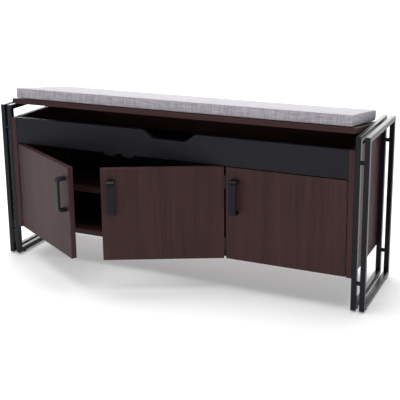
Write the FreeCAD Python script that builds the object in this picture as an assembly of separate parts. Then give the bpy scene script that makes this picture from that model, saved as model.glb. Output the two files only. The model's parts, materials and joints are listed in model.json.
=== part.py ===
"""Storage bench: a three-door cabinet carried between two pairs of steel loop frames,
with a shallow tray on top that a hinged, cushioned seat lid covers.

Millimetres. +X is the bench's right as seen from the front, +Y is the back, +Z is up.
The origin is on the floor, at the middle of the footprint of the frames.
The bench stands as in use: left and middle doors ajar, right door shut, lid tilted up.
"""
import FreeCAD, Part

import math
import os

V = FreeCAD.Vector
X_AXIS = V(1, 0, 0)
Y_AXIS = V(0, 1, 0)
Z_AXIS = V(0, 0, 1)

# ---------------------------------------------------------------- driving dimensions
WIDTH = 1200.0              # over the outer frames
DEPTH = 300.0               # over the frames
FRAME_HEIGHT = 500.0        # one loop, without its glides
GLIDE_HEIGHT = 5.0
TUBE = 15.0                 # square tube, outside
TUBE_WALL = 1.2
TUBE_CORNER = 1.5
TUBE_INNER_CORNER = 0.5
LOOP_GAP = 10.0             # between the outer and the inner loop of one end

BOARD = 16.0
BOARD_EDGE = 0.8            # radius of the edge banding
BACK_BOARD = 4.0
CABINET_BOTTOM = 99.5
CABINET_TOP = 466.0
FASCIA_BOTTOM = 383.5
BACK_SETBACK = 6.0          # rear ends of the inner boards before the side panels' back edges
BACK_BOARD_TOP = 430.0
BACK_PLAY = 0.5             # back board to each side panel
SHELF_BOTTOM = 241.0

DOOR_SETBACK = 1.0          # door and fascia faces behind the side panels' front edges
DOOR_BOTTOM = 101.0
DOOR_TOP = 380.5
HINGE_GAP = 5.0             # side panel to the door edge where a hinge sits
HINGE_RECESS = 3.0          # how much deeper that is than the rest of the door edge
PAIR_GAP = 3.0              # between the two doors that meet
DIVIDER_GAP = 6.0           # between the middle and the right door
BEHIND_DOOR = 2.0           # door back to whatever stands behind it
DIVIDER_FROM_PIN = 7.0      # divider's left face to the middle door's hinge axis
SHELF_SETBACK = 3.0         # shelf fronts behind the bottom panel's
SHELF_BACK_GAP = 4.0

LEFT_DOOR_OPEN = 31.0       # degrees, as the bench stands
MIDDLE_DOOR_OPEN = 26.0
LID_OPEN = 8.5

HANDLE_WIDTH = 22.0
HANDLE_BAR = 8.0
HANDLE_BEND = 14.0          # outer radius of a pull's two bends
HANDLE_ROUND = 1.4
HANDLE_PROUD = 27.0
HANDLE_SPACING = 96.0       # between the two screws of one pull
HANDLE_HEIGHT_AT = 295.0
HANDLE_FROM_EDGE = 30.0     # free edge of the door to the middle of the pull
HANDLE_SCREW_IN = 9.0       # screw depth in the pull

LID_SIDE_GAP = 4.0          # lid to each inner loop
LID_REST_GAP = 1.5          # shut lid above the cabinet, filled by the buffers
LID_PIN_BEHIND = 2.9        # lid hinge axis behind the boards
LID_EDGE = 1.2
CUSHION_THICK = 33.0
CUSHION_FRONT_CORNER = 8.0
CUSHION_REAR_CORNER = 26.0
CUSHION_EDGE = 4.0
CUSHION_INSET_SIDE = 7.0    # cushion inside the lid board, at each end
CUSHION_INSET_FRONT = 1.0
CUSHION_INSET_BACK = 6.0
FASTENER_PAD = 2.0          # thickness of the hook-and-loop pads
PAD_HALF = (35.0, 12.0)
PAD_X = (-480.0, -160.0, 160.0, 480.0)
PAD_Y = (-100.0, 90.0)

# ---------------------------------------------------------------- worked-out places
FRONT = -DEPTH / 2
BACK = DEPTH / 2
FRAME_TOP = GLIDE_HEIGHT + FRAME_HEIGHT
OUTER_IN = WIDTH / 2 - TUBE                 # inboard face of an outer loop
INNER_OUT = OUTER_IN - LOOP_GAP             # outboard face of an inner loop
INNER_IN = INNER_OUT - TUBE                 # inboard face of an inner loop
PANEL_IN = INNER_IN - BOARD                 # inside of a side panel
BOARDS_BACK = BACK - BACK_SETBACK            # rear ends of the boards between the side panels
POST_Y = DEPTH / 2 - TUBE / 2               # a post's axis, in front and behind

DOOR_FRONT = FRONT + DOOR_SETBACK
DOOR_BACK = DOOR_FRONT + BOARD
INSIDE_FRONT = DOOR_BACK + BEHIND_DOOR      # front of bottom, divider and shelves
DOOR_WIDTH = (2 * PANEL_IN - 2 * HINGE_GAP - PAIR_GAP - DIVIDER_GAP) / 3
LEFT_DOOR_X = -PANEL_IN + HINGE_GAP         # each door's left edge
MIDDLE_DOOR_X = LEFT_DOOR_X + DOOR_WIDTH + PAIR_GAP
RIGHT_DOOR_X = MIDDLE_DOOR_X + DOOR_WIDTH + DIVIDER_GAP

PIN_BEHIND_FACE = 1.0                       # door hinge axis behind the door's face
PIN_Y = DOOR_FRONT + PIN_BEHIND_FACE
LEFT_PIN_X = LEFT_DOOR_X - HINGE_GAP / 2
MIDDLE_PIN_X = MIDDLE_DOOR_X + DOOR_WIDTH + HINGE_GAP / 2
RIGHT_PIN_X = RIGHT_DOOR_X + DOOR_WIDTH + HINGE_GAP / 2
DIVIDER_X = MIDDLE_PIN_X - DIVIDER_FROM_PIN  # left face of the divider

BOTTOM_TOP = CABINET_BOTTOM + BOARD
FLOOR_TOP = FASCIA_BOTTOM + BOARD           # tray floor, upper face
RAIL_FRONT = BOARDS_BACK - BOARD
SHELF_TOP = SHELF_BOTTOM + BOARD
SHELF_FRONT = INSIDE_FRONT + SHELF_SETBACK
SHELF_BACK = BOARDS_BACK - SHELF_BACK_GAP

LID_BOTTOM = CABINET_TOP + LID_REST_GAP
LID_TOP = LID_BOTTOM + BOARD
LID_HALF = INNER_IN - LID_SIDE_GAP
LID_PIN_Y = BOARDS_BACK + LID_PIN_BEHIND
LID_PIN_Z = CABINET_TOP + LID_REST_GAP / 2

# ---------------------------------------------------------------- fittings
LOOP_BOLT_Z = (85.0, 432.0)     # the spacers between the two loops of one end
PANEL_SCREW_Z = (180.0, 290.0)  # inner loop to side panel
BOLT_RADIUS = 3.0
BOLT_CLEARANCE = 0.25
BOLT_HEAD_RADIUS = 5.8
BOLT_HEAD_DEPTH = 3.0
BOLT_SOCKET = 2.1               # socket, across its corners from the middle
BOLT_SOCKET_DEPTH = 2.4
BOLT_SHORT = 1.0                # bolt end before the end of its insert
INSERT_RADIUS = 4.5
INSERT_LENGTH = 10.0
SPACER_RADIUS = 6.0
PANEL_SCREW_RADIUS = 2.0
PANEL_SCREW_HEAD = 4.0
PANEL_SCREW_CONE = 2.2
PANEL_SCREW_IN = 12.0           # depth in the side panel
GLIDE_RADIUS = 7.0
GLIDE_ROUND = 1.2
GLIDE_STEM = 4.0                # stem radius
GLIDE_STEM_UP = 6.4             # stem above the underside of the tube
GLIDE_FROM_END = 32.0       # from the front and from the back of the loop

DOWEL_RADIUS = 4.0
DOWEL_LENGTH = 30.0
DOWEL_IN_SIDE = 10.0
DOWEL_Y = (-95.0, 95.0)
DOWEL_UPRIGHT_Z = (403.5, 448.0)
DIVIDER_DOWEL_LENGTH = 24.0
DIVIDER_DOWEL_IN = (10.0, 14.0)  # depth in the bottom panel, length in the divider below the floor
CAM_RADIUS = 7.5
CAM_DEPTH = 12.5
CAM_FROM_SIDE = 24.0
CAM_BOLT_RADIUS = 3.0
CAM_BOLT_LENGTH = 32.0
CAM_Y = (-55.0, 55.0)
CAM_SLOT = (4.0, 0.8, 1.5)      # half length, half width and depth of the driver slot
SHELF_PIN_RADIUS = 2.5
SHELF_PIN_IN = 7.0
SHELF_PIN_OUT = 9.0
SHELF_PIN_FROM_END = 40.0
SHELF_PIN_CHAMFER = 0.5
SHELF_END_GAP = 1.0

DOOR_LEAF = 1.2             # sheet thickness of a door hinge
DOOR_LEAF_DEPTH = 14.0
DOOR_SCREW_AT = 8.4         # hinge screws behind the pin
DOOR_HINGE_LENGTH = 40.0
DOOR_KNUCKLE = 2.1
DOOR_PIN = 1.1
DOOR_HINGE_FROM_END = 45.0  # middle of the hinge from the door's top or bottom
LID_LEAF = 1.5
LID_LEAF_DOWN = 26.0
LID_LEAF_UP = 13.0
LID_HINGE_LENGTH = 60.0
LID_KNUCKLE = 2.6
LID_PIN = 1.5
LID_HINGE_X = (-400.0, 0.0, 400.0)
LID_SCREW_X = (-18.0, 18.0)
LID_SCREW_AT = (16.1, 8.45)  # below the pin in the rail, above it in the lid
KNUCKLE_COUNT = 5
KNUCKLE_GAP = 0.3
PIN_CLEARANCE = 0.05
PIN_HEAD = (0.6, 0.5)       # height of a pin's head, and how far it stands out round the pin
SWEEP_CLEARANCE = 0.35      # leaf cut back round the other leaf's knuckles

SCREW_RADIUS = 1.5
SCREW_HEAD = 2.6
SCREW_CONE = 1.1
SHORT_SCREW = 12.0
DOOR_SCREW = 14.0
DIVIDER_SCREW = 16.0
LID_SCREW = 20.0
HANDLE_SCREW = (2.0, 3.8, 1.8)  # radius, head radius, head height
STRIKE_SCREW = 10.0
BACK_SCREW = (1.4, 3.2, 1.2)    # radius, head radius, head height
BACK_SCREW_LENGTH = 13.0
BACK_SCREW_UP = 12.0        # upper row above the tray floor's underside
BACK_SCREW_X = (-530.0, -354.0, -177.0, 0.0, 354.0, 530.0)
BUFFER_RADIUS = 4.0
BUFFER_PLAY = 0.3           # shut lid above its buffers
BUFFER_Y = (-120.0, 110.0)
CATCH_SIZE = (40.0, 14.0, 13.0)
CATCH_BEHIND_DOOR = 1.1
CATCH_ROUND = 2.0
STRIKE_SIZE = (34.0, 0.8, 11.0)
STRIKE_BELOW_TOP = 3.0
CATCH_FROM_EDGE = 30.0      # free edge of the door to the middle of its catch

NOTCH_TOP_HALF = 86.0       # finger notch in the fascia
NOTCH_BOTTOM_HALF = 51.0
NOTCH_DEPTH = 24.5
NOTCH_ROUND = 14.0
OVERCUT = 1.0               # how far a cutter reaches past the face that it opens


# ---------------------------------------------------------------- small helpers
def block(x, y, z):
    """A plain box between three pairs of limits."""
    return Part.makeBox(x[1] - x[0], y[1] - y[0], z[1] - z[0], V(x[0], y[0], z[0]))


def board(x, y, z, edge=BOARD_EDGE):
    """A box with every edge slightly rounded, as a banded board has."""
    plain = block(x, y, z)
    return plain.makeFillet(edge, plain.Edges)


def rod(start, axis, length, radius):
    """A cylinder that leaves start along axis."""
    return Part.makeCylinder(radius, length, start, axis)


def bored(shape, cutters):
    """shape with every cutter taken away."""
    return shape.cut(Part.makeCompound(cutters)) if cutters else shape


def mirrored(shape):
    """The same piece on the other end of the bench."""
    return shape.mirror(V(0, 0, 0), X_AXIS)


def both_ends(shapes):
    """Pieces of the right-hand end together with their mirror images."""
    return shapes + [mirrored(shape) for shape in shapes]


def turned(shape, centre, axis, degrees):
    """A copy of shape turned about an axis through centre."""
    copy = shape.copy()
    copy.rotate(centre, axis, degrees)
    return copy


def moved(shape, offset):
    """A copy of shape shifted by offset."""
    copy = shape.copy()
    copy.translate(offset)
    return copy


def upright_edges(shape):
    """The edges of a block that run along Z."""
    return [edge for edge in shape.Edges if edge.BoundBox.ZLength > edge.Length / 2]


def rounded_face(corners, place):
    """A flat face through corners (u, v, radius), each corner an arc of its radius.

    place turns a (u, v) pair into a point in space.
    """
    joints = []
    count = len(corners)
    for index, (u, v, radius) in enumerate(corners):
        here = V(u, v, 0)
        before = V(corners[index - 1][0], corners[index - 1][1], 0) - here
        after = V(corners[(index + 1) % count][0], corners[(index + 1) % count][1], 0) - here
        before.normalize()
        after.normalize()
        half_angle = before.getAngle(after) / 2
        reach = radius / math.tan(half_angle)
        middle = before + after
        middle.normalize()
        to_arc = radius / math.sin(half_angle) - radius
        joints.append((here + before * reach, here + middle * to_arc, here + after * reach, radius))
    edges = []
    for index, (enter, crown, leave, radius) in enumerate(joints):
        if radius > 0:
            arc = Part.Arc(place(enter.x, enter.y), place(crown.x, crown.y), place(leave.x, leave.y))
            edges.append(arc.toShape())
        following = joints[(index + 1) % count][0]
        edges.append(Part.makeLine(place(leave.x, leave.y), place(following.x, following.y)))
    return Part.Face(Part.Wire(edges))


def square_bar(half, corner, length):
    """A square bar with rounded long edges, centred on Z, from z = 0 up."""
    corners = [(-half, -half, corner), (half, -half, corner), (half, half, corner), (-half, half, corner)]
    return rounded_face(corners, lambda u, v: V(u, v, 0)).extrude(Z_AXIS * length)


# ---------------------------------------------------------------- loop frames
def mitred_tube(length):
    """Square tube along Z, mitred at both ends, its longest side towards -Y."""
    half = TUBE / 2
    tube = square_bar(half, TUBE_CORNER, length)
    tube = tube.cut(square_bar(half - TUBE_WALL, TUBE_INNER_CORNER, length))
    reach = half + OVERCUT
    for end, up in ((0.0, OVERCUT), (length, -OVERCUT)):
        outline = [V(-TUBE, -reach, end - up),
                   V(-TUBE, reach, end - up + math.copysign(2 * reach, up)),
                   V(-TUBE, reach, end - up)]
        wedge = Part.Face(Part.makePolygon(outline + outline[:1])).extrude(X_AXIS * 2 * TUBE)
        tube = tube.cut(wedge)
    return tube


def loop_tubes(x):
    """The four tubes of one upright loop whose tubes are centred on x."""
    low = GLIDE_HEIGHT
    post = mitred_tube(FRAME_HEIGHT)
    bar = mitred_tube(DEPTH)
    rear = turned(post, V(0, 0, 0), Z_AXIS, 180)
    top = turned(bar, V(0, 0, 0), X_AXIS, -90)
    bottom = turned(bar, V(0, 0, 0), X_AXIS, 90)
    return {
        "front_post": moved(post, V(x, -POST_Y, low)),
        "rear_post": moved(rear, V(x, POST_Y, low)),
        "top_bar": moved(top, V(x, FRONT, FRAME_TOP - TUBE / 2)),
        "bottom_bar": moved(bottom, V(x, BACK, low + TUBE / 2)),
    }


def loop_bolt(y, z):
    """Countersunk bolt from the inner loop's inboard face into the outer loop."""
    head = Part.makeCone(BOLT_HEAD_RADIUS, BOLT_RADIUS, BOLT_HEAD_DEPTH, V(INNER_IN, y, z), X_AXIS)
    shank = rod(V(INNER_IN, y, z), X_AXIS, OUTER_IN + INSERT_LENGTH - BOLT_SHORT - INNER_IN, BOLT_RADIUS)
    points = []
    for degrees in range(0, 361, 60):
        angle = math.radians(degrees)
        points.append(V(INNER_IN, y + BOLT_SOCKET * math.cos(angle), z + BOLT_SOCKET * math.sin(angle)))
    socket = Part.Face(Part.makePolygon(points)).extrude(X_AXIS * BOLT_SOCKET_DEPTH)
    return head.fuse(shank).removeSplitter().cut(socket)


def end_fittings():
    """Fasteners and spacers of the right-hand end, and the holes that they need."""
    made = {name: [] for name in ("bolts", "inserts", "insert_holes", "spacers", "screws", "bolt_holes")}
    for y in (-POST_Y, POST_Y):
        for z in LOOP_BOLT_Z:
            start = V(INNER_IN, y, z)
            bore = rod(start, X_AXIS, OUTER_IN - INNER_IN, BOLT_RADIUS + BOLT_CLEARANCE)
            sink = Part.makeCone(BOLT_HEAD_RADIUS, BOLT_RADIUS, BOLT_HEAD_DEPTH, start, X_AXIS)
            insert = rod(V(OUTER_IN, y, z), X_AXIS, INSERT_LENGTH, INSERT_RADIUS)
            made["bolts"].append(loop_bolt(y, z))
            made["bolt_holes"].append(bore.fuse(sink))
            made["insert_holes"].append(insert)
            made["inserts"].append(insert.cut(rod(V(OUTER_IN, y, z), X_AXIS, INSERT_LENGTH, BOLT_RADIUS)))
            made["spacers"].append(rod(V(INNER_OUT, y, z), X_AXIS, LOOP_GAP, SPACER_RADIUS).cut(bore))
        for z in PANEL_SCREW_Z:
            made["screws"].append(screw(V(INNER_OUT, y, z), X_AXIS * -1, TUBE + PANEL_SCREW_IN,
                                        PANEL_SCREW_RADIUS, PANEL_SCREW_HEAD, PANEL_SCREW_CONE))
    return made


def glides(x):
    """The two foot glides under one loop, each with a stem plugged into the tube."""
    made = []
    for y in (FRONT + GLIDE_FROM_END, BACK - GLIDE_FROM_END):
        pad = rod(V(x, y, 0), Z_AXIS, GLIDE_HEIGHT, GLIDE_RADIUS)
        low_rim = [edge for edge in pad.Edges if edge.BoundBox.ZMax < GLIDE_ROUND]
        pad = pad.makeFillet(GLIDE_ROUND, low_rim)
        stem = rod(V(x, y, GLIDE_HEIGHT), Z_AXIS, GLIDE_STEM_UP, GLIDE_STEM)
        made.append(pad.fuse(stem).removeSplitter())
    return made


# ---------------------------------------------------------------- panel joinery
def dowel_places():
    """(y, z) of the dowels between the right side panel and the boards that meet it."""
    bottom_z = CABINET_BOTTOM + BOARD / 2
    floor_z = FASCIA_BOTTOM + BOARD / 2
    fascia_y = DOOR_FRONT + BOARD / 2
    rail_y = BOARDS_BACK - BOARD / 2
    flat = [(y, z) for y in DOWEL_Y for z in (bottom_z, floor_z)]
    upright = [(y, z) for y in (fascia_y, rail_y) for z in DOWEL_UPRIGHT_Z]
    return flat + upright


def side_dowels():
    """Dowels between the right side panel and the boards that meet it."""
    return [rod(V(PANEL_IN + DOWEL_IN_SIDE, y, z), X_AXIS * -1, DOWEL_LENGTH, DOWEL_RADIUS)
            for y, z in dowel_places()]


def divider_dowels():
    """Upright dowels at both ends of the divider."""
    x = DIVIDER_X + BOARD / 2
    lower, upper = DIVIDER_DOWEL_IN
    return [rod(V(x, y, z), Z_AXIS, DIVIDER_DOWEL_LENGTH, DOWEL_RADIUS)
            for y in DOWEL_Y for z in (BOTTOM_TOP - lower, FASCIA_BOTTOM - upper)]


def cam_fittings():
    """Cam discs let into the undersides, and the bolts that they draw, right-hand end."""
    discs = []
    bolts = []
    slot_long, slot_wide, slot_deep = CAM_SLOT
    cam_x = PANEL_IN - CAM_FROM_SIDE
    for under in (CABINET_BOTTOM, FASCIA_BOTTOM):
        for y in CAM_Y:
            z = under + BOARD / 2
            draw = rod(V(PANEL_IN + DOWEL_IN_SIDE, y, z), X_AXIS * -1, CAM_BOLT_LENGTH, CAM_BOLT_RADIUS)
            disc = rod(V(cam_x, y, under), Z_AXIS, CAM_DEPTH, CAM_RADIUS)
            slot = block((cam_x - slot_long, cam_x + slot_long), (y - slot_wide, y + slot_wide),
                         (under - OVERCUT, under + slot_deep))
            discs.append(disc.cut(slot).cut(draw))
            bolts.append(draw)
    return discs, bolts


def cam_pockets():
    """The holes that the cam fittings need in the boards, right-hand end."""
    pockets = []
    for under in (CABINET_BOTTOM, FASCIA_BOTTOM):
        for y in CAM_Y:
            pockets.append(rod(V(PANEL_IN - CAM_FROM_SIDE, y, under), Z_AXIS, CAM_DEPTH, CAM_RADIUS))
    return pockets + cam_fittings()[1]


def shelf_pin(x, towards, y):
    """One shelf pin plugged into a panel face at x, sticking out along towards (+1 or -1)."""
    z = SHELF_BOTTOM - SHELF_PIN_RADIUS
    start = V(x - towards * SHELF_PIN_IN, y, z)
    pin = rod(start, X_AXIS * towards, SHELF_PIN_IN + SHELF_PIN_OUT, SHELF_PIN_RADIUS)
    tip_x = x + towards * SHELF_PIN_OUT
    tip = [edge for edge in pin.Edges if abs(edge.BoundBox.Center.x - tip_x) < SHELF_PIN_CHAMFER]
    return pin.makeChamfer(SHELF_PIN_CHAMFER, tip)


def shelf_pins():
    """The eight pins that carry the two shelves."""
    ys = (SHELF_FRONT + SHELF_PIN_FROM_END, SHELF_BACK - SHELF_PIN_FROM_END)
    faces = ((-PANEL_IN, 1), (DIVIDER_X, -1), (DIVIDER_X + BOARD, 1), (PANEL_IN, -1))
    return [shelf_pin(x, towards, y) for x, towards in faces for y in ys]


# ---------------------------------------------------------------- hinges and screws
def screw(head_at, direction, length, radius=SCREW_RADIUS, head=SCREW_HEAD, cone=SCREW_CONE):
    """Countersunk screw whose flat head lies flush at head_at."""
    sunk = Part.makeCone(head, radius, cone, head_at, direction)
    shank = rod(head_at + direction * cone, direction, length - cone, radius)
    return sunk.fuse(shank).removeSplitter()


def pan_screw(seat, direction, length, radius, head_radius, head_height):
    """Screw with a flat round head on the surface at seat, its shank along direction."""
    head = rod(seat, direction * -1, head_height, head_radius)
    shank = rod(seat, direction, length, radius)
    return head.fuse(shank).removeSplitter()


def knuckle_zones(length):
    """The stretches of a hinge's knuckles, alternately the fixed and the moving leaf's."""
    step = length / KNUCKLE_COUNT
    zones = [(-length / 2 + k * step, -length / 2 + (k + 1) * step) for k in range(KNUCKLE_COUNT)]
    return zones[0::2], zones[1::2]


def hinge_leaf(plate, own, other, knuckle, pin):
    """A hinge leaf about the Z axis: its plate, its knuckles, and room for the other leaf's."""
    for low, high in other:
        room = rod(V(0, 0, low), Z_AXIS, high - low, knuckle + SWEEP_CLEARANCE)
        plate = plate.cut(room)
    for low, high in own:
        barrel = rod(V(0, 0, low + KNUCKLE_GAP / 2), Z_AXIS, high - low - KNUCKLE_GAP, knuckle)
        plate = plate.fuse(barrel)
    bore = rod(V(0, 0, -LID_HINGE_LENGTH), Z_AXIS, 2 * LID_HINGE_LENGTH, pin + PIN_CLEARANCE)
    return plate.cut(bore).removeSplitter()


def hinge_pin(length, pin):
    """A hinge pin about the Z axis, with a small head at each end."""
    body = rod(V(0, 0, -length / 2), Z_AXIS, length, pin)
    tall, proud = PIN_HEAD
    heads = [rod(V(0, 0, z), Z_AXIS, tall, pin + proud) for z in (-length / 2 - tall, length / 2)]
    return body.fuse(heads).removeSplitter()


def side_hinge():
    """Fixed leaf, moving leaf and pin of a hinge with its fixed leaf at -X, door at +X."""
    half = HINGE_GAP / 2
    tall = (-DOOR_HINGE_LENGTH / 2, DOOR_HINGE_LENGTH / 2)
    deep = (0, DOOR_LEAF_DEPTH)
    fixed_zones, moving_zones = knuckle_zones(DOOR_HINGE_LENGTH)
    fixed = hinge_leaf(block((-half, -half + DOOR_LEAF), deep, tall), fixed_zones, moving_zones,
                       DOOR_KNUCKLE, DOOR_PIN)
    moving = hinge_leaf(block((half - DOOR_LEAF, half), deep, tall), moving_zones, fixed_zones,
                        DOOR_KNUCKLE, DOOR_PIN)
    heights = (-DOOR_HINGE_LENGTH / 4, DOOR_HINGE_LENGTH / 4)
    fixed_screws = [screw(V(-half + DOOR_LEAF, DOOR_SCREW_AT, z), X_AXIS * -1, SHORT_SCREW) for z in heights]
    moving_screws = [screw(V(half - DOOR_LEAF, DOOR_SCREW_AT, z), X_AXIS, DOOR_SCREW) for z in heights]
    return fixed, moving, fixed_screws, moving_screws


def divider_leaf():
    """Cranked fixed leaf for a door at -X: a web beside the pin, a flange on the divider."""
    half = HINGE_GAP / 2
    tall = (-DOOR_HINGE_LENGTH / 2, DOOR_HINGE_LENGTH / 2)
    back = INSIDE_FRONT - PIN_Y
    fixed_zones, moving_zones = knuckle_zones(DOOR_HINGE_LENGTH)
    web = hinge_leaf(block((half - DOOR_LEAF, half), (0, back), tall), fixed_zones, moving_zones,
                     DOOR_KNUCKLE, DOOR_PIN)
    right = DIVIDER_X + BOARD - MIDDLE_PIN_X
    flange = block((half - DOOR_LEAF, right), (back - DOOR_LEAF, back), tall)
    screw_x = (half + right) / 2
    heights = (-DOOR_HINGE_LENGTH / 4, DOOR_HINGE_LENGTH / 4)
    screws = [screw(V(screw_x, back - DOOR_LEAF, z), Y_AXIS, DIVIDER_SCREW) for z in heights]
    return web.fuse(flange).removeSplitter(), screws


def lid_hinge():
    """Fixed leaf, moving leaf, pin and screws of one lid hinge, its pin along X at the origin."""
    near = BOARDS_BACK - LID_PIN_Y
    wide = (-LID_HINGE_LENGTH / 2, LID_HINGE_LENGTH / 2)
    fixed_zones, moving_zones = knuckle_zones(LID_HINGE_LENGTH)
    # drawn about Z with +X downwards, then turned so that the pin runs along X
    fixed = hinge_leaf(block((0, LID_LEAF_DOWN), (near, near + LID_LEAF), wide), fixed_zones, moving_zones,
                       LID_KNUCKLE, LID_PIN)
    moving = hinge_leaf(block((-LID_LEAF_UP, 0), (near, near + LID_LEAF), wide), moving_zones, fixed_zones,
                        LID_KNUCKLE, LID_PIN)
    down, up = LID_SCREW_AT
    fixed_screws = [screw(V(down, near + LID_LEAF, z), Y_AXIS * -1, DOOR_SCREW) for z in LID_SCREW_X]
    moving_screws = [screw(V(-up, near + LID_LEAF, z), Y_AXIS * -1, LID_SCREW) for z in LID_SCREW_X]
    pin = hinge_pin(LID_HINGE_LENGTH, LID_PIN)
    upright = [fixed, moving, pin] + fixed_screws + moving_screws
    laid = [turned(shape, V(0, 0, 0), Y_AXIS, 90) for shape in upright]
    return laid[0], laid[1], laid[2], laid[3:5], laid[5:7]


# ---------------------------------------------------------------- doors
def hinge_heights():
    """The middles of a door's two hinges."""
    return (DOOR_BOTTOM + DOOR_HINGE_FROM_END, DOOR_TOP - DOOR_HINGE_FROM_END)


def pull(x):
    """Bow pull on a door face, centred on x: a flat bar bent twice."""
    half = HANDLE_SPACING / 2 + HANDLE_BAR / 2
    inside = half - HANDLE_BAR
    grip = HANDLE_PROUD - HANDLE_BAR
    outer = HANDLE_BEND
    inner = HANDLE_BEND - HANDLE_BAR
    outline = [(0, -half, 0), (-HANDLE_PROUD, -half, outer), (-HANDLE_PROUD, half, outer), (0, half, 0),
               (0, inside, 0), (-grip, inside, inner), (-grip, -inside, inner), (0, -inside, 0)]
    left = x - HANDLE_WIDTH / 2
    face = rounded_face(outline, lambda y, z: V(left, DOOR_FRONT + y, HANDLE_HEIGHT_AT + z))
    bar = face.extrude(X_AXIS * HANDLE_WIDTH)
    long_edges = [edge for edge in bar.Edges
                  if edge.BoundBox.XLength < HANDLE_ROUND and edge.BoundBox.YMin < DOOR_FRONT - HANDLE_ROUND]
    return bar.makeFillet(HANDLE_ROUND, long_edges)


def pull_screws(x):
    """The two screws that hold a pull, from the back of the door."""
    heights = (HANDLE_HEIGHT_AT - HANDLE_SPACING / 2, HANDLE_HEIGHT_AT + HANDLE_SPACING / 2)
    return [pan_screw(V(x, DOOR_BACK, z), Y_AXIS * -1, BOARD + HANDLE_SCREW_IN, *HANDLE_SCREW)
            for z in heights]


def strike(x):
    """Steel strike plate on the back of a door, and its screw."""
    wide, thick, tall = STRIKE_SIZE
    z = DOOR_TOP - tall / 2 - STRIKE_BELOW_TOP
    plate = block((x - wide / 2, x + wide / 2), (DOOR_BACK, DOOR_BACK + thick), (z - tall / 2, z + tall / 2))
    shank = rod(V(x, DOOR_BACK + thick, z), Y_AXIS * -1, STRIKE_SCREW, SCREW_RADIUS)
    return plate.cut(shank), shank


def catch(x):
    """Magnetic catch under the tray floor, behind the top of a door."""
    wide, deep, tall = CATCH_SIZE
    front = DOOR_BACK + CATCH_BEHIND_DOOR
    body = block((x - wide / 2, x + wide / 2), (front, front + deep), (FASCIA_BOTTOM - tall, FASCIA_BOTTOM))
    return body.makeFillet(CATCH_ROUND, upright_edges(body))


def door_set(left_x, hinge_side):
    """One shut door with its hardware, and what it leaves on the cabinet.

    hinge_side is -1 where the hinges are on the door's left, +1 on its right.
    """
    fixed, moving, fixed_screws, moving_screws = side_hinge()
    pin = hinge_pin(DOOR_HINGE_LENGTH, DOOR_PIN)
    pieces = {"moving": [moving], "moving_screws": moving_screws, "fixed": [fixed],
              "fixed_screws": fixed_screws, "pins": [pin]}
    pin_x = left_x - HINGE_GAP / 2
    if hinge_side > 0:
        pieces = {name: [mirrored(shape) for shape in shapes] for name, shapes in pieces.items()}
        pin_x = left_x + DOOR_WIDTH + HINGE_GAP / 2
    if pin_x == MIDDLE_PIN_X:
        leaf, screws = divider_leaf()
        pieces["fixed"] = [leaf]
        pieces["fixed_screws"] = screws
    placed = {name: [moved(shape, V(pin_x, PIN_Y, z)) for shape in shapes for z in hinge_heights()]
              for name, shapes in pieces.items()}

    free_x = left_x + DOOR_WIDTH if hinge_side < 0 else left_x
    handle_x = free_x + hinge_side * HANDLE_FROM_EDGE
    catch_x = free_x + hinge_side * CATCH_FROM_EDGE
    handle_screws = pull_screws(handle_x)
    plate, plate_screw = strike(catch_x)
    screws = placed["moving_screws"] + handle_screws + [plate_screw]
    wide = [left_x, left_x + DOOR_WIDTH]
    recesses = []
    if pin_x != MIDDLE_PIN_X:
        hinged = 0 if hinge_side < 0 else 1
        line = wide[hinged]
        wide[hinged] += hinge_side * HINGE_RECESS
        room = sorted((line, wide[hinged] + hinge_side * OVERCUT))
        recesses = [block(room, (DOOR_FRONT - OVERCUT, DOOR_BACK + OVERCUT),
                          (z - DOOR_HINGE_LENGTH / 2 - OVERCUT, z + DOOR_HINGE_LENGTH / 2 + OVERCUT))
                    for z in hinge_heights()]
    panel = bored(board(wide, (DOOR_FRONT, DOOR_BACK), (DOOR_BOTTOM, DOOR_TOP)), screws + recesses)
    door = {
        "": [panel],
        "_handle": [bored(pull(handle_x), handle_screws)],
        "_hinge_leaves": [bored(leaf, placed["moving_screws"]) for leaf in placed["moving"]],
        "_strike_plate": [plate],
        "_screws": screws,
    }
    left_behind = {
        "leaves": [bored(leaf, placed["fixed_screws"]) for leaf in placed["fixed"]],
        "screws": placed["fixed_screws"],
        "pins": placed["pins"],
        "catch": catch(catch_x),
    }
    return door, left_behind, pin_x


# ---------------------------------------------------------------- lid and cushion
def cushion():
    """Boxed seat cushion, its rear corners rounder than its front ones."""
    low = LID_TOP + FASTENER_PAD
    body = block((-LID_HALF + CUSHION_INSET_SIDE, LID_HALF - CUSHION_INSET_SIDE),
                 (FRONT + CUSHION_INSET_FRONT, BOARDS_BACK - CUSHION_INSET_BACK), (low, low + CUSHION_THICK))
    front = [edge for edge in upright_edges(body) if edge.BoundBox.YMax < 0]
    body = body.makeFillet(CUSHION_FRONT_CORNER, front)
    rear = [edge for edge in upright_edges(body) if edge.BoundBox.YMin > 0]
    body = body.makeFillet(CUSHION_REAR_CORNER, rear)
    level = [edge for edge in body.Edges if edge.BoundBox.ZLength < CUSHION_EDGE]
    return body.makeFillet(CUSHION_EDGE, level)


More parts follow.
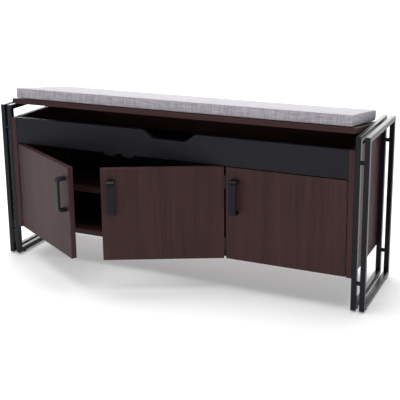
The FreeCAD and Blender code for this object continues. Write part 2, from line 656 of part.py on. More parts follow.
def lid_pieces():
    """The shut lid: board, cushion, its pads, hinge leaves and screws; and the fixed hinge parts."""
    fixed, moving, pin, fixed_screws, moving_screws = lid_hinge()
    places = [V(x, LID_PIN_Y, LID_PIN_Z) for x in LID_HINGE_X]
    rail_screws = [moved(shape, place) for place in places for shape in fixed_screws]
    lid_screws = [moved(shape, place) for place in places for shape in moving_screws]
    plain = board((-LID_HALF, LID_HALF), (FRONT, BOARDS_BACK), (LID_BOTTOM, LID_TOP), LID_EDGE)
    wide, deep = PAD_HALF
    pads = [block((x - wide, x + wide), (y - deep, y + deep), (LID_TOP, LID_TOP + FASTENER_PAD))
            for x in PAD_X for y in PAD_Y]
    lid = {
        "lid_board": [bored(plain, lid_screws)],
        "cushion": [cushion()],
        "cushion_pads": pads,
        "lid_hinge_leaves": [bored(moved(moving, place), lid_screws) for place in places],
        "lid_screws": lid_screws,
    }
    rail = {
        "leaves": [bored(moved(fixed, place), rail_screws) for place in places],
        "screws": rail_screws,
        "pins": [moved(pin, place) for place in places],
    }
    return lid, rail


# ---------------------------------------------------------------- cabinet boards
def fascia():
    """Front of the tray, with the finger notch in its top edge."""
    low = FASCIA_BOTTOM
    high = CABINET_TOP
    bed = high - NOTCH_DEPTH
    outline = [(-PANEL_IN, low, 0), (PANEL_IN, low, 0), (PANEL_IN, high, 0),
               (NOTCH_TOP_HALF, high, NOTCH_ROUND), (NOTCH_BOTTOM_HALF, bed, NOTCH_ROUND),
               (-NOTCH_BOTTOM_HALF, bed, NOTCH_ROUND), (-NOTCH_TOP_HALF, high, NOTCH_ROUND),
               (-PANEL_IN, high, 0)]
    face = rounded_face(outline, lambda x, z: V(x, DOOR_FRONT, z))
    return face.extrude(Y_AXIS * BOARD)


def buffers():
    """Thin rubber buffers that the shut lid comes down on."""
    tall = LID_REST_GAP - BUFFER_PLAY
    return [rod(V(side * (PANEL_IN + BOARD / 2), y, CABINET_TOP), Z_AXIS, tall, BUFFER_RADIUS)
            for side in (-1, 1) for y in BUFFER_Y]


def back_screws():
    """Pan-head screws round the back board."""
    columns = BACK_SCREW_X + (DIVIDER_X + BOARD / 2,)
    heights = (CABINET_BOTTOM + BOARD / 2, FASCIA_BOTTOM + BACK_SCREW_UP)
    return [pan_screw(V(x, BOARDS_BACK + BACK_BOARD, z), Y_AXIS * -1, BACK_SCREW_LENGTH, *BACK_SCREW)
            for x in columns for z in heights]


def shelf(left, right):
    """A loose shelf between two panel faces."""
    wide = (left + SHELF_END_GAP, right - SHELF_END_GAP)
    return board(wide, (SHELF_FRONT, SHELF_BACK), (SHELF_BOTTOM, SHELF_TOP))


# ---------------------------------------------------------------- assembly
def build():
    """Every node's name and its list of solids."""
    nodes = {}
    fittings = end_fittings()
    foot_glides = []
    outer_x = WIDTH / 2 - TUBE / 2
    inner_x = INNER_IN + TUBE / 2
    inner_holes = fittings["bolt_holes"] + fittings["screws"]
    for loop, x, holes in (("outer", outer_x, fittings["insert_holes"]), ("inner", inner_x, inner_holes)):
        feet = glides(x)
        foot_glides += feet
        for part, tube in loop_tubes(x).items():
            cutters = feet if part == "bottom_bar" else holes
            finished = tube if part == "top_bar" else bored(tube, cutters)
            nodes["right_" + loop + "_" + part] = [finished]
            nodes["left_" + loop + "_" + part] = [mirrored(finished)]

    dowels = both_ends(side_dowels())
    pockets = both_ends(cam_pockets())
    discs, cam_bolts = cam_fittings()
    upright_dowels = divider_dowels()
    pins = shelf_pins()
    screws = back_screws()

    doors = {
        "left_door": (door_set(LEFT_DOOR_X, -1), -LEFT_DOOR_OPEN),
        "middle_door": (door_set(MIDDLE_DOOR_X, 1), MIDDLE_DOOR_OPEN),
        "right_door": (door_set(RIGHT_DOOR_X, 1), 0.0),
    }
    hinge_pins = []
    fixed_leaves = []
    catches = []
    for name, ((door, left_behind, pin_x), angle) in doors.items():
        for suffix, solids in door.items():
            nodes[name + suffix] = [turned(solid, V(pin_x, PIN_Y, 0), Z_AXIS, angle) for solid in solids]
        fixed_leaves += left_behind["leaves"]
        hinge_pins += left_behind["pins"]
        catches.append(left_behind["catch"])
        screws += left_behind["screws"]

    lid, rail = lid_pieces()
    for name, solids in lid.items():
        nodes[name] = [turned(solid, V(0, LID_PIN_Y, LID_PIN_Z), X_AXIS, -LID_OPEN) for solid in solids]
    screws += rail["screws"]

    side = board((PANEL_IN, INNER_IN), (FRONT, BACK), (CABINET_BOTTOM, CABINET_TOP))
    panel_screws = both_ends(fittings["screws"])
    for sign, name in ((1, "right_side_panel"), (-1, "left_side_panel")):
        panel = side if sign > 0 else mirrored(side)
        nodes[name] = [bored(panel, panel_screws + dowels + pockets + pins + screws)]
    inside = (-PANEL_IN, PANEL_IN)
    bottom = board(inside, (INSIDE_FRONT, BOARDS_BACK), (CABINET_BOTTOM, BOTTOM_TOP))
    floor = block(inside, (DOOR_BACK, RAIL_FRONT), (FASCIA_BOTTOM, FLOOR_TOP))
    rear = block(inside, (RAIL_FRONT, BOARDS_BACK), (FASCIA_BOTTOM, CABINET_TOP))
    divider = board((DIVIDER_X, DIVIDER_X + BOARD), (INSIDE_FRONT, BOARDS_BACK), (BOTTOM_TOP, FASCIA_BOTTOM))
    back = block((-PANEL_IN + BACK_PLAY, PANEL_IN - BACK_PLAY), (BOARDS_BACK, BOARDS_BACK + BACK_BOARD),
                 (CABINET_BOTTOM, BACK_BOARD_TOP))
    nodes["bottom_panel"] = [bored(bottom, dowels + pockets + upright_dowels + screws)]
    nodes["tray_floor"] = [bored(floor, dowels + pockets + upright_dowels)]
    nodes["front_fascia"] = [bored(fascia(), dowels)]
    nodes["rear_rail"] = [bored(rear, dowels + screws)]
    nodes["divider"] = [bored(divider, upright_dowels + pins + screws)]
    nodes["back_panel"] = [bored(back, screws)]
    nodes["wide_shelf"] = [shelf(-PANEL_IN, DIVIDER_X)]
    nodes["right_shelf"] = [shelf(DIVIDER_X + BOARD, PANEL_IN)]

    nodes["frame_bolts"] = both_ends(fittings["bolts"])
    nodes["threaded_inserts"] = both_ends(fittings["inserts"])
    nodes["frame_spacers"] = both_ends(fittings["spacers"])
    nodes["side_panel_screws"] = panel_screws
    nodes["foot_glides"] = both_ends(foot_glides)
    nodes["panel_dowels"] = dowels + upright_dowels
    nodes["cam_fittings"] = both_ends(discs + cam_bolts)
    nodes["shelf_pins"] = pins
    nodes["magnetic_catches"] = catches
    nodes["door_hinge_fixed_leaves"] = fixed_leaves
    nodes["lid_hinge_fixed_leaves"] = rail["leaves"]
    nodes["hinge_pins"] = hinge_pins + rail["pins"]
    nodes["cabinet_screws"] = screws
    nodes["lid_buffers"] = buffers()
    return nodes


def main():
    """Writes one STEP file for each node."""
    os.makedirs("parts", exist_ok=True)
    for name, solids in build().items():
        shape = solids[0] if len(solids) == 1 else Part.makeCompound(solids)
        shape.exportStep("parts/" + name + ".step")


main()
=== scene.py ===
"""Looks of the storage bench: materials, seat cushion, light and camera around its CAD frame."""

import json
import math

import bpy
from mathutils import Matrix, Vector


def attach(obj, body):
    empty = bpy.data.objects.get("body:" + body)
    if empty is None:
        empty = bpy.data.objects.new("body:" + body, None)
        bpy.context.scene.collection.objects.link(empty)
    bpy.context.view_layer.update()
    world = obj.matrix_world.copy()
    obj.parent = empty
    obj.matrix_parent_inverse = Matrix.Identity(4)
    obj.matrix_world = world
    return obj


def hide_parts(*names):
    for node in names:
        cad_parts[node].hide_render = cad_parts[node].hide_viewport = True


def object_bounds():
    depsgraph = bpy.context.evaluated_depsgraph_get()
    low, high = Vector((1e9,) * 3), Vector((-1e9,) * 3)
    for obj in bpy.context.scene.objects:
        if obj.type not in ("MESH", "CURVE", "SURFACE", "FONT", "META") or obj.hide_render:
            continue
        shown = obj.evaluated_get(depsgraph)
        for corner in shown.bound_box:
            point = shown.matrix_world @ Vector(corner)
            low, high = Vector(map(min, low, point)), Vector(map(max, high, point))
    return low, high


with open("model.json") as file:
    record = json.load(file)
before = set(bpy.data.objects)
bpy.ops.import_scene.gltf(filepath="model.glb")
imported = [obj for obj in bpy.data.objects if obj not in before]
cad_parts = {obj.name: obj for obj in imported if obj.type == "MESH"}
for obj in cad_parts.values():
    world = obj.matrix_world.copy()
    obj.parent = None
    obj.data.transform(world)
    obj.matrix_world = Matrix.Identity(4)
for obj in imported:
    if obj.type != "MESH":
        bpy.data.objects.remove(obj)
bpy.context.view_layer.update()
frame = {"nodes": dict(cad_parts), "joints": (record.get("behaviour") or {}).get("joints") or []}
NODES = frame["nodes"]
JOINTS = {joint["name"]: joint for joint in frame["joints"]}

MM = 0.001

# Camera: where it stands, which way it looks, its lens and its sensor
CAMERA_PLACE = (1.1517, -2.4042, 1.0663)
CAMERA_YAW = math.radians(24.97)
CAMERA_PITCH = math.radians(14.37)
CAMERA_ROLL = math.radians(-0.64)
CAMERA_LENS = 79.8
CAMERA_SENSOR = 36.0
CAMERA_SHIFT = -0.13
CAMERA_REACH = 200.0

# Seat cushion
CUSHION_INSET = 1.5 * MM
CUSHION_VOXEL = 4 * MM
CUSHION_PRESSURE = 4.0
CUSHION_FRAMES = 20
CUSHION_SWELL = 4 * MM
CUSHION_SAG = 1.6 * MM
CUSHION_CURL = 2.5 * MM
CUSHION_CURL_LENGTH = 140 * MM
CUSHION_FRONT_CORNER = 8 * MM
CUSHION_REAR_CORNER = 26 * MM
CORNER_STEPS = 8
SEAM_HOLD = 5 * MM
SEAM_RADIUS = 0.9 * MM
SEAM_STEP = 6 * MM

# Boards whose grain runs upwards; it runs along the others
UPRIGHT_BOARDS = (
    "left_side_panel",
    "right_side_panel",
    "divider",
    "left_door",
    "middle_door",
    "right_door",
)

# Laminate: noise scales per metre, and what they are multiplied by along the grain
BAND_SCALE = 24
STREAK_SCALE = 150
FIBRE_SCALE = 900
GRAIN_STRETCH = 0.035
FIBRE_STRETCH = 0.012

# Woven cover: width of a thread, noise scales per metre, and what they are multiplied by along a thread
THREAD_PITCH = 1.3 * MM
YARN_SCALE = 520
YARN_STRETCH = 0.06
SLUB_SCALE = 190
SLUB_STRETCH = 0.12
SLUB_SHARE = 0.55

# Floor
FLOOR_HALF = 30.0
FLOOR_DARKEST = 0.80
FLOOR_PALEST = 0.82
# The floor's glow is painted light that lifts the shadow under the bench.
FLOOR_GLOW = 0.25

# Surroundings: full strength below one height of a unit direction, dim above another
FULL_BELOW = 0.14
DIM_ABOVE = 0.32
DIM_STRENGTH = 0.3

# Lights
TOP_LIGHT_STRENGTH = 2.85
TOP_LIGHT_SPREAD = math.radians(60)
TOP_LIGHT_TURN = (math.radians(-5), math.radians(-8), 0.0)
BACK_LIGHT_PLACE = (-2.4, 4.5, 1.5)
BACK_LIGHT_AIM = (0.0, 0.0, 0.25)
BACK_LIGHT_WIDTH = 8.0
BACK_LIGHT_HEIGHT = 2.4
BACK_LIGHT_POWER = 230


class Surface:
    """The node graph of one material."""

    def __init__(self, name, **values):
        self.material = bpy.data.materials.new(name)
        self.material.use_nodes = True
        self.tree = self.material.node_tree
        self.shader = self.tree.nodes["Principled BSDF"]
        for socket, value in values.items():
            self.shader.inputs[socket.replace("_", " ")].default_value = value

    def node(self, kind, inputs=None, **settings):
        """Adds a node; inputs are numbers, or the sockets that feed it."""
        node = self.tree.nodes.new("ShaderNode" + kind)
        for setting, value in settings.items():
            setattr(node, setting, value)
        for socket, value in (inputs or {}).items():
            if isinstance(value, bpy.types.NodeSocket):
                self.tree.links.new(value, node.inputs[socket])
            else:
                node.inputs[socket].default_value = value
        return node

    def feed(self, socket, source):
        """Links a socket to one of the shader's inputs."""
        self.tree.links.new(source, self.shader.inputs[socket])

    def coordinates(self):
        """The object's own coordinates."""
        return self.node("TexCoord").outputs["Object"]

    def stretched(self, vector, scale):
        """A vector scaled on each axis."""
        return self.node("Mapping", {"Vector": vector, "Scale": scale}).outputs["Vector"]

    def noise(self, vector, scale, detail=2.0, distortion=0.0):
        """Noise from 0 to 1."""
        inputs = {"Vector": vector, "Scale": scale, "Detail": detail, "Distortion": distortion}
        return self.node("TexNoise", inputs).outputs["Fac"]

    def spread(self, value, lowest, highest, start=0.3, end=0.7):
        """Maps start..end of a value onto lowest..highest."""
        inputs = {
            "Value": value,
            "From Min": start,
            "From Max": end,
            "To Min": lowest,
            "To Max": highest,
        }
        return self.node("MapRange", inputs).outputs["Result"]

    def maths(self, operation, first, second=0.0):
        """One operation on two values."""
        return self.node("Math", {0: first, 1: second}, operation=operation).outputs[0]

    def between(self, share, first, second):
        """A number between two numbers, which are the mix node's inputs 2 and 3."""
        return self.node("Mix", {"Factor": share, 2: first, 3: second}).outputs[0]

    def mixed(self, share, first, second):
        """A colour between two colours, which are the mix node's inputs 6 and 7."""
        inputs = {"Factor": share, 6: first, 7: second}
        return self.node("Mix", inputs, data_type="RGBA").outputs[2]

    def mottled(self, noise, tone, darkest, lightest):
        """A tone that drifts between two brightnesses."""
        return self.mixed(self.spread(noise, 0.0, 1.0), scaled(tone, darkest), scaled(tone, lightest))

    def edge_highlighted(self, edge, share, colour, highlight_colour):
        """A colour that goes part of the way to a lighter one on sharp edges: a painted edge highlight.
        """
        return self.mixed(self.maths("MULTIPLY", edge, share), colour, highlight_colour)

    def ramp(self, value, stops):
        """A colour ramp through (position, colour) stops."""
        node = self.node("ValToRGB", {"Fac": value})
        elements = node.color_ramp.elements
        while len(elements) < len(stops):
            elements.new(0.5)
        for element, (position, colour) in zip(elements, stops):
            element.position = position
            element.color = colour
        return node.outputs["Color"]

    def edges(self, radius):
        """1 on sharp edges, 0 on flat faces, and the rounded normal that shows it."""
        rounded = self.node("Bevel", {"Radius": radius}, samples=6).outputs["Normal"]
        flat = self.node("NewGeometry").outputs["Normal"]
        dot = self.node("VectorMath", {0: rounded, 1: flat}, operation="DOT_PRODUCT").outputs["Value"]
        return self.spread(dot, 1.0, 0.0, 0.75, 0.995), rounded

    def bump(self, height, distance, strength=1.0, normal=None):
        """Bumps the surface by a height, where 1 stands for a distance in metres."""
        inputs = {"Height": height, "Distance": distance, "Strength": strength}
        if normal is not None:
            inputs["Normal"] = normal
        self.feed("Normal", self.node("Bump", inputs).outputs["Normal"])


def rgb(red, green, blue):
    """A colour with full alpha."""
    return (red, green, blue, 1.0)


def scaled(colour, by):
    """A colour made lighter or darker."""
    return rgb(*(channel * by for channel in colour[:3]))


def laminate(name, grain, tone, contrast, gloss, edge_highlight_tone):
    """Wood-grain laminate on board, the grain running along one axis (0, 1 or 2), with a painted
    highlight on its edges.
    """
    surface = Surface(name, Specular_IOR_Level=0.14)
    place = surface.coordinates()
    along = [1.0, 1.0, 1.0]
    along[grain] = GRAIN_STRETCH
    grained = surface.stretched(place, along)
    bands = surface.noise(grained, BAND_SCALE, 3, 0.7)
    streaks = surface.noise(grained, STREAK_SCALE, 5, 0.3)
    along[grain] = FIBRE_STRETCH
    fibres = surface.noise(surface.stretched(place, along), FIBRE_SCALE, 2)
    figure = surface.maths("MULTIPLY", bands, 0.5)
    figure = surface.maths("ADD", figure, surface.maths("MULTIPLY", streaks, 0.5))
    colour = surface.ramp(
        figure,
        (
            (0.38, scaled(tone, 1 - contrast)),
            (0.5, tone),
            (0.62, scaled(tone, 1 + contrast)),
        ),
    )
    pores = surface.spread(fibres, 0.0, 0.55, 0.6, 0.72)
    colour = surface.mixed(pores, colour, scaled(tone, 0.6))
    edge, rounded = surface.edges(1.2 * MM)
    # Painted highlight on the board edges, stronger in random patches.
    highlight_share = surface.spread(surface.noise(place, 60, 3), 0.25, 0.7)
    surface.feed("Base Color", surface.edge_highlighted(edge, highlight_share, colour, edge_highlight_tone))
    surface.feed("Roughness", surface.spread(streaks, gloss - 0.05, gloss + 0.08))
    height = surface.maths("SUBTRACT", surface.maths("MULTIPLY", streaks, 0.6), pores)
    surface.bump(height, 0.05 * MM, 0.5, rounded)
    return surface.material


def powder_coat(name, tone, gloss, speckle=1400):
    """Fine-textured satin paint on metal."""
    surface = Surface(name, Specular_IOR_Level=0.2)
    place = surface.coordinates()
    orange_peel = surface.noise(place, speckle, 2)
    cloud = surface.noise(place, 9, 3)
    edge, rounded = surface.edges(0.6 * MM)
    colour = surface.mottled(cloud, tone, 0.85, 1.15)
    # Sharp edges painted lighter: a painted edge highlight.
    surface.feed("Base Color", surface.edge_highlighted(edge, 0.5, colour, scaled(tone, 2.4)))
    surface.feed("Roughness", surface.spread(orange_peel, gloss - 0.06, gloss + 0.08))
    surface.bump(orange_peel, 0.03 * MM, 0.6, rounded)
    return surface.material


def moulded(name, tone, gloss):
    """Matt moulded plastic or rubber."""
    surface = Surface(name, Specular_IOR_Level=0.25)
    place = surface.coordinates()
    grain = surface.noise(place, 2600, 2)
    dust = surface.noise(place, 70, 4)
    edge, rounded = surface.edges(0.4 * MM)
    colour = surface.mottled(dust, tone, 0.8, 1.3)
    # Sharp edges painted lighter: a painted edge highlight.
    surface.feed("Base Color", surface.edge_highlighted(edge, 0.4, colour, scaled(tone, 2)))
    surface.feed("Roughness", surface.spread(grain, gloss - 0.05, gloss + 0.1))
    surface.bump(grain, 0.02 * MM, 0.6, rounded)
    return surface.material


def steel(name, tone, gloss, metallic):
    """Rolled or turned steel with fine drawn lines."""
    surface = Surface(name, Metallic=metallic, Anisotropic=0.3)
    place = surface.coordinates()
    lines = surface.noise(surface.stretched(place, (1.0, 1.0, 0.04)), 2400, 2)
    stain = surface.noise(place, 160, 4)
    edge, rounded = surface.edges(0.3 * MM)
    colour = surface.mottled(stain, tone, 0.8, 1.15)
    # Sharp edges painted lighter: a painted edge highlight.
    surface.feed("Base Color", surface.edge_highlighted(edge, 0.6, colour, scaled(tone, 1.5)))
    surface.feed("Roughness", surface.spread(lines, gloss - 0.08, gloss + 0.1))
    surface.bump(lines, 0.01 * MM, 0.5, rounded)
    return surface.material


def bare_wood(name, tone):
    """Turned beech with its short flecks."""
    surface = Surface(name, Roughness=0.7)
    place = surface.coordinates()
    flecks = surface.noise(surface.stretched(place, (0.1, 1.0, 1.0)), 1500, 3)
    surface.feed("Base Color", surface.ramp(flecks, ((0.35, scaled(tone, 0.7)), (0.6, tone))))
    surface.bump(flecks, 0.05 * MM)
    return surface.material


def hardboard(name, tone):
    """Thin pressed-fibre board, painted on its face."""
    surface = Surface(name, Specular_IOR_Level=0.3)
    place = surface.coordinates()
    fibres = surface.noise(place, 500, 6, 1.2)
    cloud = surface.noise(place, 12, 4)
    colour = surface.mottled(cloud, tone, 0.8, 1.2)
    raised = surface.spread(fibres, 0.0, 0.5)
    surface.feed("Base Color", surface.mixed(raised, colour, scaled(tone, 1.8)))
    surface.feed("Roughness", surface.spread(fibres, 0.5, 0.75))
    surface.bump(fibres, 0.12 * MM, 0.7)
    return surface.material


def fuzzy_tape(name, tone):
    """Looped pile of hook-and-loop tape."""
    surface = Surface(name, Roughness=0.95, Sheen_Weight=0.4)
    place = surface.coordinates()
    loops = surface.node("TexVoronoi", {"Vector": place, "Scale": 1800.0}).outputs["Distance"]
    surface.feed("Base Color", surface.ramp(loops, ((0.1, scaled(tone, 1.8)), (0.6, tone))))
    surface.bump(loops, 0.3 * MM)
    return surface.material


def melange_weave(name, light, dark, thread):
    """Plain weave of flecked yarn, with painted shade on the borders and in the gaps between threads.

    It lies on the "weave" attribute: metres along the two yarns, then 1 on a border and 0 elsewhere.
    """
    surface = Surface(
        name,
        Roughness=0.92,
        Sheen_Weight=0.25,
        Sheen_Roughness=0.45,
        Specular_IOR_Level=0.15,
    )
    place = surface.node("Attribute", attribute_name="weave").outputs["Vector"]
    flat = surface.stretched(place, (1.0, 1.0, 0.0))
    warp = surface.noise(surface.stretched(flat, (1.0, YARN_STRETCH, 1.0)), YARN_SCALE, 2)
    weft = surface.noise(surface.stretched(flat, (YARN_STRETCH, 1.0, 1.0)), YARN_SCALE, 2)
    long_warp = surface.noise(surface.stretched(flat, (1.0, SLUB_STRETCH, 1.0)), SLUB_SCALE, 2)
    long_weft = surface.noise(surface.stretched(flat, (SLUB_STRETCH, 1.0, 1.0)), SLUB_SCALE, 2)
    slubs = surface.maths("MULTIPLY", surface.maths("ADD", long_warp, long_weft), 0.5)
    cloud = surface.noise(flat, 14, 3)
    parts = surface.node("SeparateXYZ", {"Vector": place}).outputs
    crowns = []
    for axis in ("X", "Y"):
        turn = surface.maths("MULTIPLY", parts[axis], math.pi / THREAD_PITCH)
        crowns.append(surface.maths("ABSOLUTE", surface.maths("SINE", turn)))
    cells = surface.node("TexChecker", {"Vector": flat, "Scale": 1 / THREAD_PITCH}).outputs["Fac"]
    height = surface.between(cells, *crowns)
    yarn = surface.between(cells, warp, weft)
    fleck = surface.between(SLUB_SHARE, yarn, slubs)
    colour = surface.ramp(fleck, ((0.4, dark), (0.5, thread), (0.6, light)))
    colour = surface.mixed(surface.spread(cloud, 0.0, 0.25), colour, thread)
    # Painted shade in the gaps between the threads.
    painted_gap_shade = surface.spread(height, 0.35, 0.0, 0.0, 0.45)
    colour = surface.mixed(painted_gap_shade, colour, scaled(dark, 0.6))
    # Painted shade on the borders: the cushion's sides are painted darker than its top.
    painted_border_shade = surface.mixed(surface.spread(fleck, 0.75, 0.35, 0.42, 0.58), colour, scaled(dark, 0.58))
    surface.feed("Base Color", surface.mixed(parts["Z"], colour, painted_border_shade))
    relief = surface.maths("ADD", height, surface.maths("MULTIPLY", yarn, 0.8))
    surface.bump(relief, 0.35 * MM, 0.6)
    return surface.material


def finish_materials():
    """One material for each slot of the record; boards have one for each grain direction."""
    brown = rgb(0.0465, 0.0195, 0.0200)
    charcoal = rgb(0.012, 0.0115, 0.0165)
    black = rgb(0.0046, 0.0050, 0.0092)
    # The lighter edge tones below are painted edge highlights.
    brown_edge_highlight = rgb(0.10, 0.055, 0.050)
    blackened = rgb(0.012, 0.012, 0.013)
    return {
        "brown_upright": laminate("brown_upright", 2, brown, 0.24, 0.45, brown_edge_highlight),
        "brown_board": laminate("brown_level", 0, brown, 0.24, 0.45, brown_edge_highlight),
        "black_board": laminate("black_level", 0, charcoal, 0.12, 0.42, rgb(0.03, 0.03, 0.035)),
        "back_board": hardboard("back_board", rgb(0.012, 0.010, 0.010)),
        "frame_paint": powder_coat("frame_paint", black, 0.3),
        "spacer_paint": powder_coat("spacer_paint", black, 0.3),
        "pull_paint": powder_coat("pull_paint", scaled(black, 0.8), 0.42, 1800),
        "seat_fabric": melange_weave(
            "seat_fabric",
            rgb(0.66, 0.65, 0.68),
            rgb(0.44, 0.40, 0.47),
            rgb(0.58, 0.565, 0.60),
        ),
        "hook_and_loop": fuzzy_tape("hook_and_loop", rgb(0.02, 0.02, 0.02)),
        "black_plastic": moulded("black_plastic", blackened, 0.5),
        "black_rubber": moulded("black_rubber", rgb(0.015, 0.015, 0.015), 0.75),
        "dowel_wood": bare_wood("dowel_wood", rgb(0.50, 0.33, 0.17)),
        "black_fastener": steel("black_fastener", blackened, 0.45, 0.3),
        "hinge_steel": steel("hinge_steel", blackened, 0.45, 0.3),
        "plated_steel": steel("plated_steel", rgb(0.55, 0.56, 0.58), 0.28, 1.0),
    }


def dress_frame(finishes):
    """Gives each CAD node the finish of its slot."""
    for name, node in NODES.items():
        for slot in node.material_slots:
            kind = slot.material.name.split(".")[0]
            if kind == "brown_board" and name in UPRIGHT_BOARDS:
                kind = "brown_upright"
            slot.material = finishes[kind]


def shut_lid():
    """The matrix that turns the lid from rest to shut."""
    joint = JOINTS["lid_tilt"]
    pivot = Matrix.Translation(Vector(joint["pos_m"]))
    turn = Matrix.Rotation(math.radians(joint["range_deg"][0]), 4, Vector(joint["axis"]))
    return pivot @ turn @ pivot.inverted()


def corner_box(mesh):
    """Lowest and highest corner of a mesh."""
    axes = list(zip(*(vertex.co for vertex in mesh.vertices)))
    return Vector(map(min, axes)), Vector(map(max, axes))


def added(name, data):
    """A new object in the scene."""
    thing = bpy.data.objects.new(name, data)
    bpy.context.scene.collection.objects.link(thing)
    return thing


def only(piece):
    """Selects one object and makes it active."""
    bpy.ops.object.select_all(action="DESELECT")
    piece.select_set(True)
    bpy.context.view_layer.objects.active = piece


def apply_modifier(piece, modifier):
    """Applies one modifier."""
    only(piece)
    bpy.ops.object.modifier_apply(modifier=modifier.name)


def sewn_edges(piece, low, high):
    """Groups the points near the upper and lower edges, which the seams hold."""
    group = piece.vertex_groups.new(name="seams")
    held = []
    for vertex in piece.data.vertices:
        place = vertex.co
        to_level = min(abs(place.z - low.z), abs(high.z - place.z))
        to_side = min(place.x - low.x, high.x - place.x, place.y - low.y, high.y - place.y)
        if to_level < SEAM_HOLD and to_side < SEAM_HOLD:
            held.append(vertex.index)
    group.add(held, 1.0, "REPLACE")
    return group.name


def inflate(piece, seams):
    """Blows a closed shell up like foam in a tight cover, each point by CUSHION_SWELL at most."""
    start = [vertex.co.copy() for vertex in piece.data.vertices]
    cloth = piece.modifiers.new("stuffing", "CLOTH")
    settings = cloth.settings
    settings.vertex_group_mass = seams
    settings.effector_weights.gravity = 0.0
    settings.use_pressure = True
    settings.uniform_pressure_force = CUSHION_PRESSURE
    cloth.point_cache.frame_start = 1
    cloth.point_cache.frame_end = CUSHION_FRAMES
    scene = bpy.context.scene
    for number in range(1, CUSHION_FRAMES + 1):
        scene.frame_set(number)
    apply_modifier(piece, cloth)
    scene.frame_set(1)
    for vertex, home in zip(piece.data.vertices, start):
        move = vertex.co - home
        if move.length > CUSHION_SWELL:
            vertex.co = home + move * (CUSHION_SWELL / move.length)


def settle(piece, low, high):
    """Flattens the underside, lets it sag past the pads, and lifts the right end behind its front."""
    for vertex in piece.data.vertices:
        place = vertex.co
        place.z = max(place.z, low.z)
        if place.z < low.z + CUSHION_VOXEL:
            place.z -= CUSHION_SAG
        near_end = max(0.0, 1 - (high.x - place.x) / CUSHION_CURL_LENGTH)
        behind = min(1.0, (place.y - low.y) / CUSHION_CURL_LENGTH)
        place.z += CUSHION_CURL * near_end**2 * behind


def weave_coordinates(piece):
    """Stores metres along the two yarns, and whether it is a border, which the cover's material paints
    in shade, on each face corner.
    """
    mesh = piece.data
    layer = mesh.attributes.new("weave", "FLOAT_VECTOR", "CORNER")
    for face in mesh.polygons:
        normal = [abs(part) for part in face.normal]
        facing = normal.index(max(normal))
        axes = ((1, 2), (0, 2), (0, 1))[facing]
        for corner in face.loop_indices:
            place = mesh.vertices[mesh.loops[corner].vertex_index].co
            layer.data[corner].vector = (place[axes[0]], place[axes[1]], float(facing != 2))


def outline(low, high, height):
    """Points round the cushion's edge at one height."""
    rear = CUSHION_REAR_CORNER
    front = CUSHION_FRONT_CORNER
    points = []
    corners = (
        (high.x - rear, high.y - rear, rear, 0),
        (low.x + rear, high.y - rear, rear, 90),
        (low.x + front, low.y + front, front, 180),
        (high.x - front, low.y + front, front, 270),
    )
    for x, y, radius, start in corners:
        for step in range(CORNER_STEPS + 1):
            angle = math.radians(start + step * 90 / CORNER_STEPS)
            points.append(Vector((x + radius * math.cos(angle), y + radius * math.sin(angle), height)))
    return points


def divided(points, step):
    """A closed line cut into pieces of about one length."""
    line = []
    for here, there in zip(points, points[1:] + points[:1]):
        count = max(1, round((there - here).length / step))
        line += [here.lerp(there, index / count) for index in range(count)]
    return line


def seam(name, cover, points, finish):
    """A sewn edge: a thin cord of the cover's cloth, laid on the cover's surface."""
    curve = bpy.data.curves.new(name, "CURVE")
    curve.dimensions = "3D"
    curve.bevel_depth = SEAM_RADIUS
    curve.bevel_resolution = 2
    spline = curve.splines.new("POLY")
    line = [cover.closest_point_on_mesh(point)[1] for point in divided(points, SEAM_STEP)]
    spline.points.add(len(line) - 1)
    for point, place in zip(spline.points, line):
        point.co = (*place, 1.0)
    spline.use_cyclic_u = True
    piece = added(name, curve)
    only(piece)
    bpy.ops.object.convert(target="MESH")
    weave_coordinates(piece)
    piece.data.materials.append(finish)
    return piece


def draw_in(mesh, low, high):
    """Moves each side of a mesh's box inwards by CUSHION_INSET."""
    centre = (low + high) / 2
    for vertex in mesh.vertices:
        for axis in range(3):
            half = (high[axis] - low[axis]) / 2
            offset = vertex.co[axis] - centre[axis]
            vertex.co[axis] = centre[axis] + offset * (1 - CUSHION_INSET / half)


def seat_cushion(finish):
    """The seat cushion: a foam slab in a sewn cover, made with the lid shut, then tilted to rest."""
    shut = shut_lid()
    mesh = NODES["cushion"].data.copy()
    mesh.transform(shut)
    low, high = corner_box(mesh)
    draw_in(mesh, low, high)
    piece = added("seat_cushion", mesh)
    remesh = piece.modifiers.new("shell", "REMESH")
    remesh.mode = "VOXEL"
    remesh.voxel_size = CUSHION_VOXEL
    apply_modifier(piece, remesh)
    inflate(piece, sewn_edges(piece, low, high))
    settle(piece, low, high)
    smooth = piece.modifiers.new("smooth", "SUBSURF")
    smooth.levels = 1
    apply_modifier(piece, smooth)
    weave_coordinates(piece)
    piece.data.materials.clear()
    piece.data.materials.append(finish)
    piece.data.polygons.foreach_set("use_smooth", [True] * len(piece.data.polygons))
    seams = [
        seam("cushion_top_seam", piece, outline(low, high, high.z), finish),
        seam("cushion_bottom_seam", piece, outline(low, high, low.z - CUSHION_SAG), finish),
    ]
    for part in [piece, *seams]:
        part.data.transform(shut.inverted())
        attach(part, "lid")
    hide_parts("cushion")


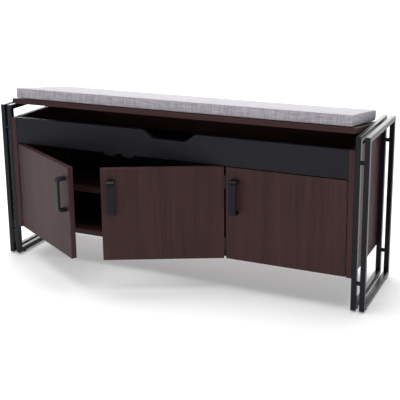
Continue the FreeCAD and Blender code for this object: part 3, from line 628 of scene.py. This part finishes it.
def studio_floor():
    """A plain pale floor that glows a little: painted light that lifts the shadow on it."""
    mesh = bpy.data.meshes.new("floor")
    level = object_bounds()[0].z
    signs = ((-1, -1), (1, -1), (1, 1), (-1, 1))
    mesh.from_pydata([(x * FLOOR_HALF, y * FLOOR_HALF, level) for x, y in signs], [], [range(4)])
    floor = added("floor", mesh)
    surface = Surface("floor", Roughness=0.9, Specular_IOR_Level=0.1, Emission_Strength=FLOOR_GLOW)
    tones = ((0.3, rgb(*[FLOOR_DARKEST] * 3)), (0.7, rgb(*[FLOOR_PALEST] * 3)))
    pale = surface.ramp(surface.noise(surface.coordinates(), 2.0), tones)
    surface.feed("Base Color", pale)
    surface.feed("Emission Color", pale)
    mesh.materials.append(surface.material)


def soft_box(name, place, aim, width, height, power):
    """A rectangular light, unseen by the camera."""
    data = bpy.data.lights.new(name, "AREA")
    data.shape = "RECTANGLE"
    data.size = width
    data.size_y = height
    data.energy = power
    light = added(name, data)
    light.location = place
    light.rotation_euler = (Vector(aim) - Vector(place)).to_track_quat("-Z", "Y").to_euler()
    light.visible_camera = False


def surroundings():
    """White light from all round, strongest at the horizon and below it."""
    world = bpy.data.worlds.new("studio")
    world.use_nodes = True
    tree = world.node_tree
    direction = tree.nodes.new("ShaderNodeTexCoord").outputs["Generated"]
    upward = tree.nodes.new("ShaderNodeSeparateXYZ")
    tree.links.new(direction, upward.inputs["Vector"])
    fade = tree.nodes.new("ShaderNodeMapRange")
    limits = {"From Min": FULL_BELOW, "From Max": DIM_ABOVE, "To Min": 1.0, "To Max": DIM_STRENGTH}
    for socket, value in limits.items():
        fade.inputs[socket].default_value = value
    tree.links.new(upward.outputs["Z"], fade.inputs["Value"])
    background = tree.nodes["Background"]
    background.inputs["Color"].default_value = rgb(1.0, 1.0, 1.0)
    tree.links.new(fade.outputs["Result"], background.inputs["Strength"])
    bpy.context.scene.world = world


def studio_light():
    """Soft light from above and a bright panel behind."""
    data = bpy.data.lights.new("top_light", "SUN")
    data.energy = TOP_LIGHT_STRENGTH
    data.angle = TOP_LIGHT_SPREAD
    added("top_light", data).rotation_euler = TOP_LIGHT_TURN
    size = (BACK_LIGHT_WIDTH, BACK_LIGHT_HEIGHT)
    soft_box("back_light", BACK_LIGHT_PLACE, BACK_LIGHT_AIM, *size, BACK_LIGHT_POWER)


def main_camera():
    """The camera, from its yaw, pitch and roll."""
    turn = Matrix.Rotation(CAMERA_YAW, 3, "Z") @ Matrix.Rotation(math.pi / 2 - CAMERA_PITCH, 3, "X")
    turn = turn @ Matrix.Rotation(CAMERA_ROLL, 3, "Z")
    data = bpy.data.cameras.new("camera")
    data.lens = CAMERA_LENS
    data.sensor_width = CAMERA_SENSOR
    data.shift_y = CAMERA_SHIFT
    data.clip_end = CAMERA_REACH
    camera = added("camera", data)
    camera.matrix_world = Matrix.Translation(CAMERA_PLACE) @ turn.to_4x4()
    bpy.context.scene.camera = camera


def main():
    """Adds the looks to the frame."""
    bpy.context.scene.view_settings.view_transform = "Standard"
    finishes = finish_materials()
    dress_frame(finishes)
    seat_cushion(finishes["seat_fabric"])
    studio_floor()
    surroundings()
    studio_light()
    main_camera()


main()
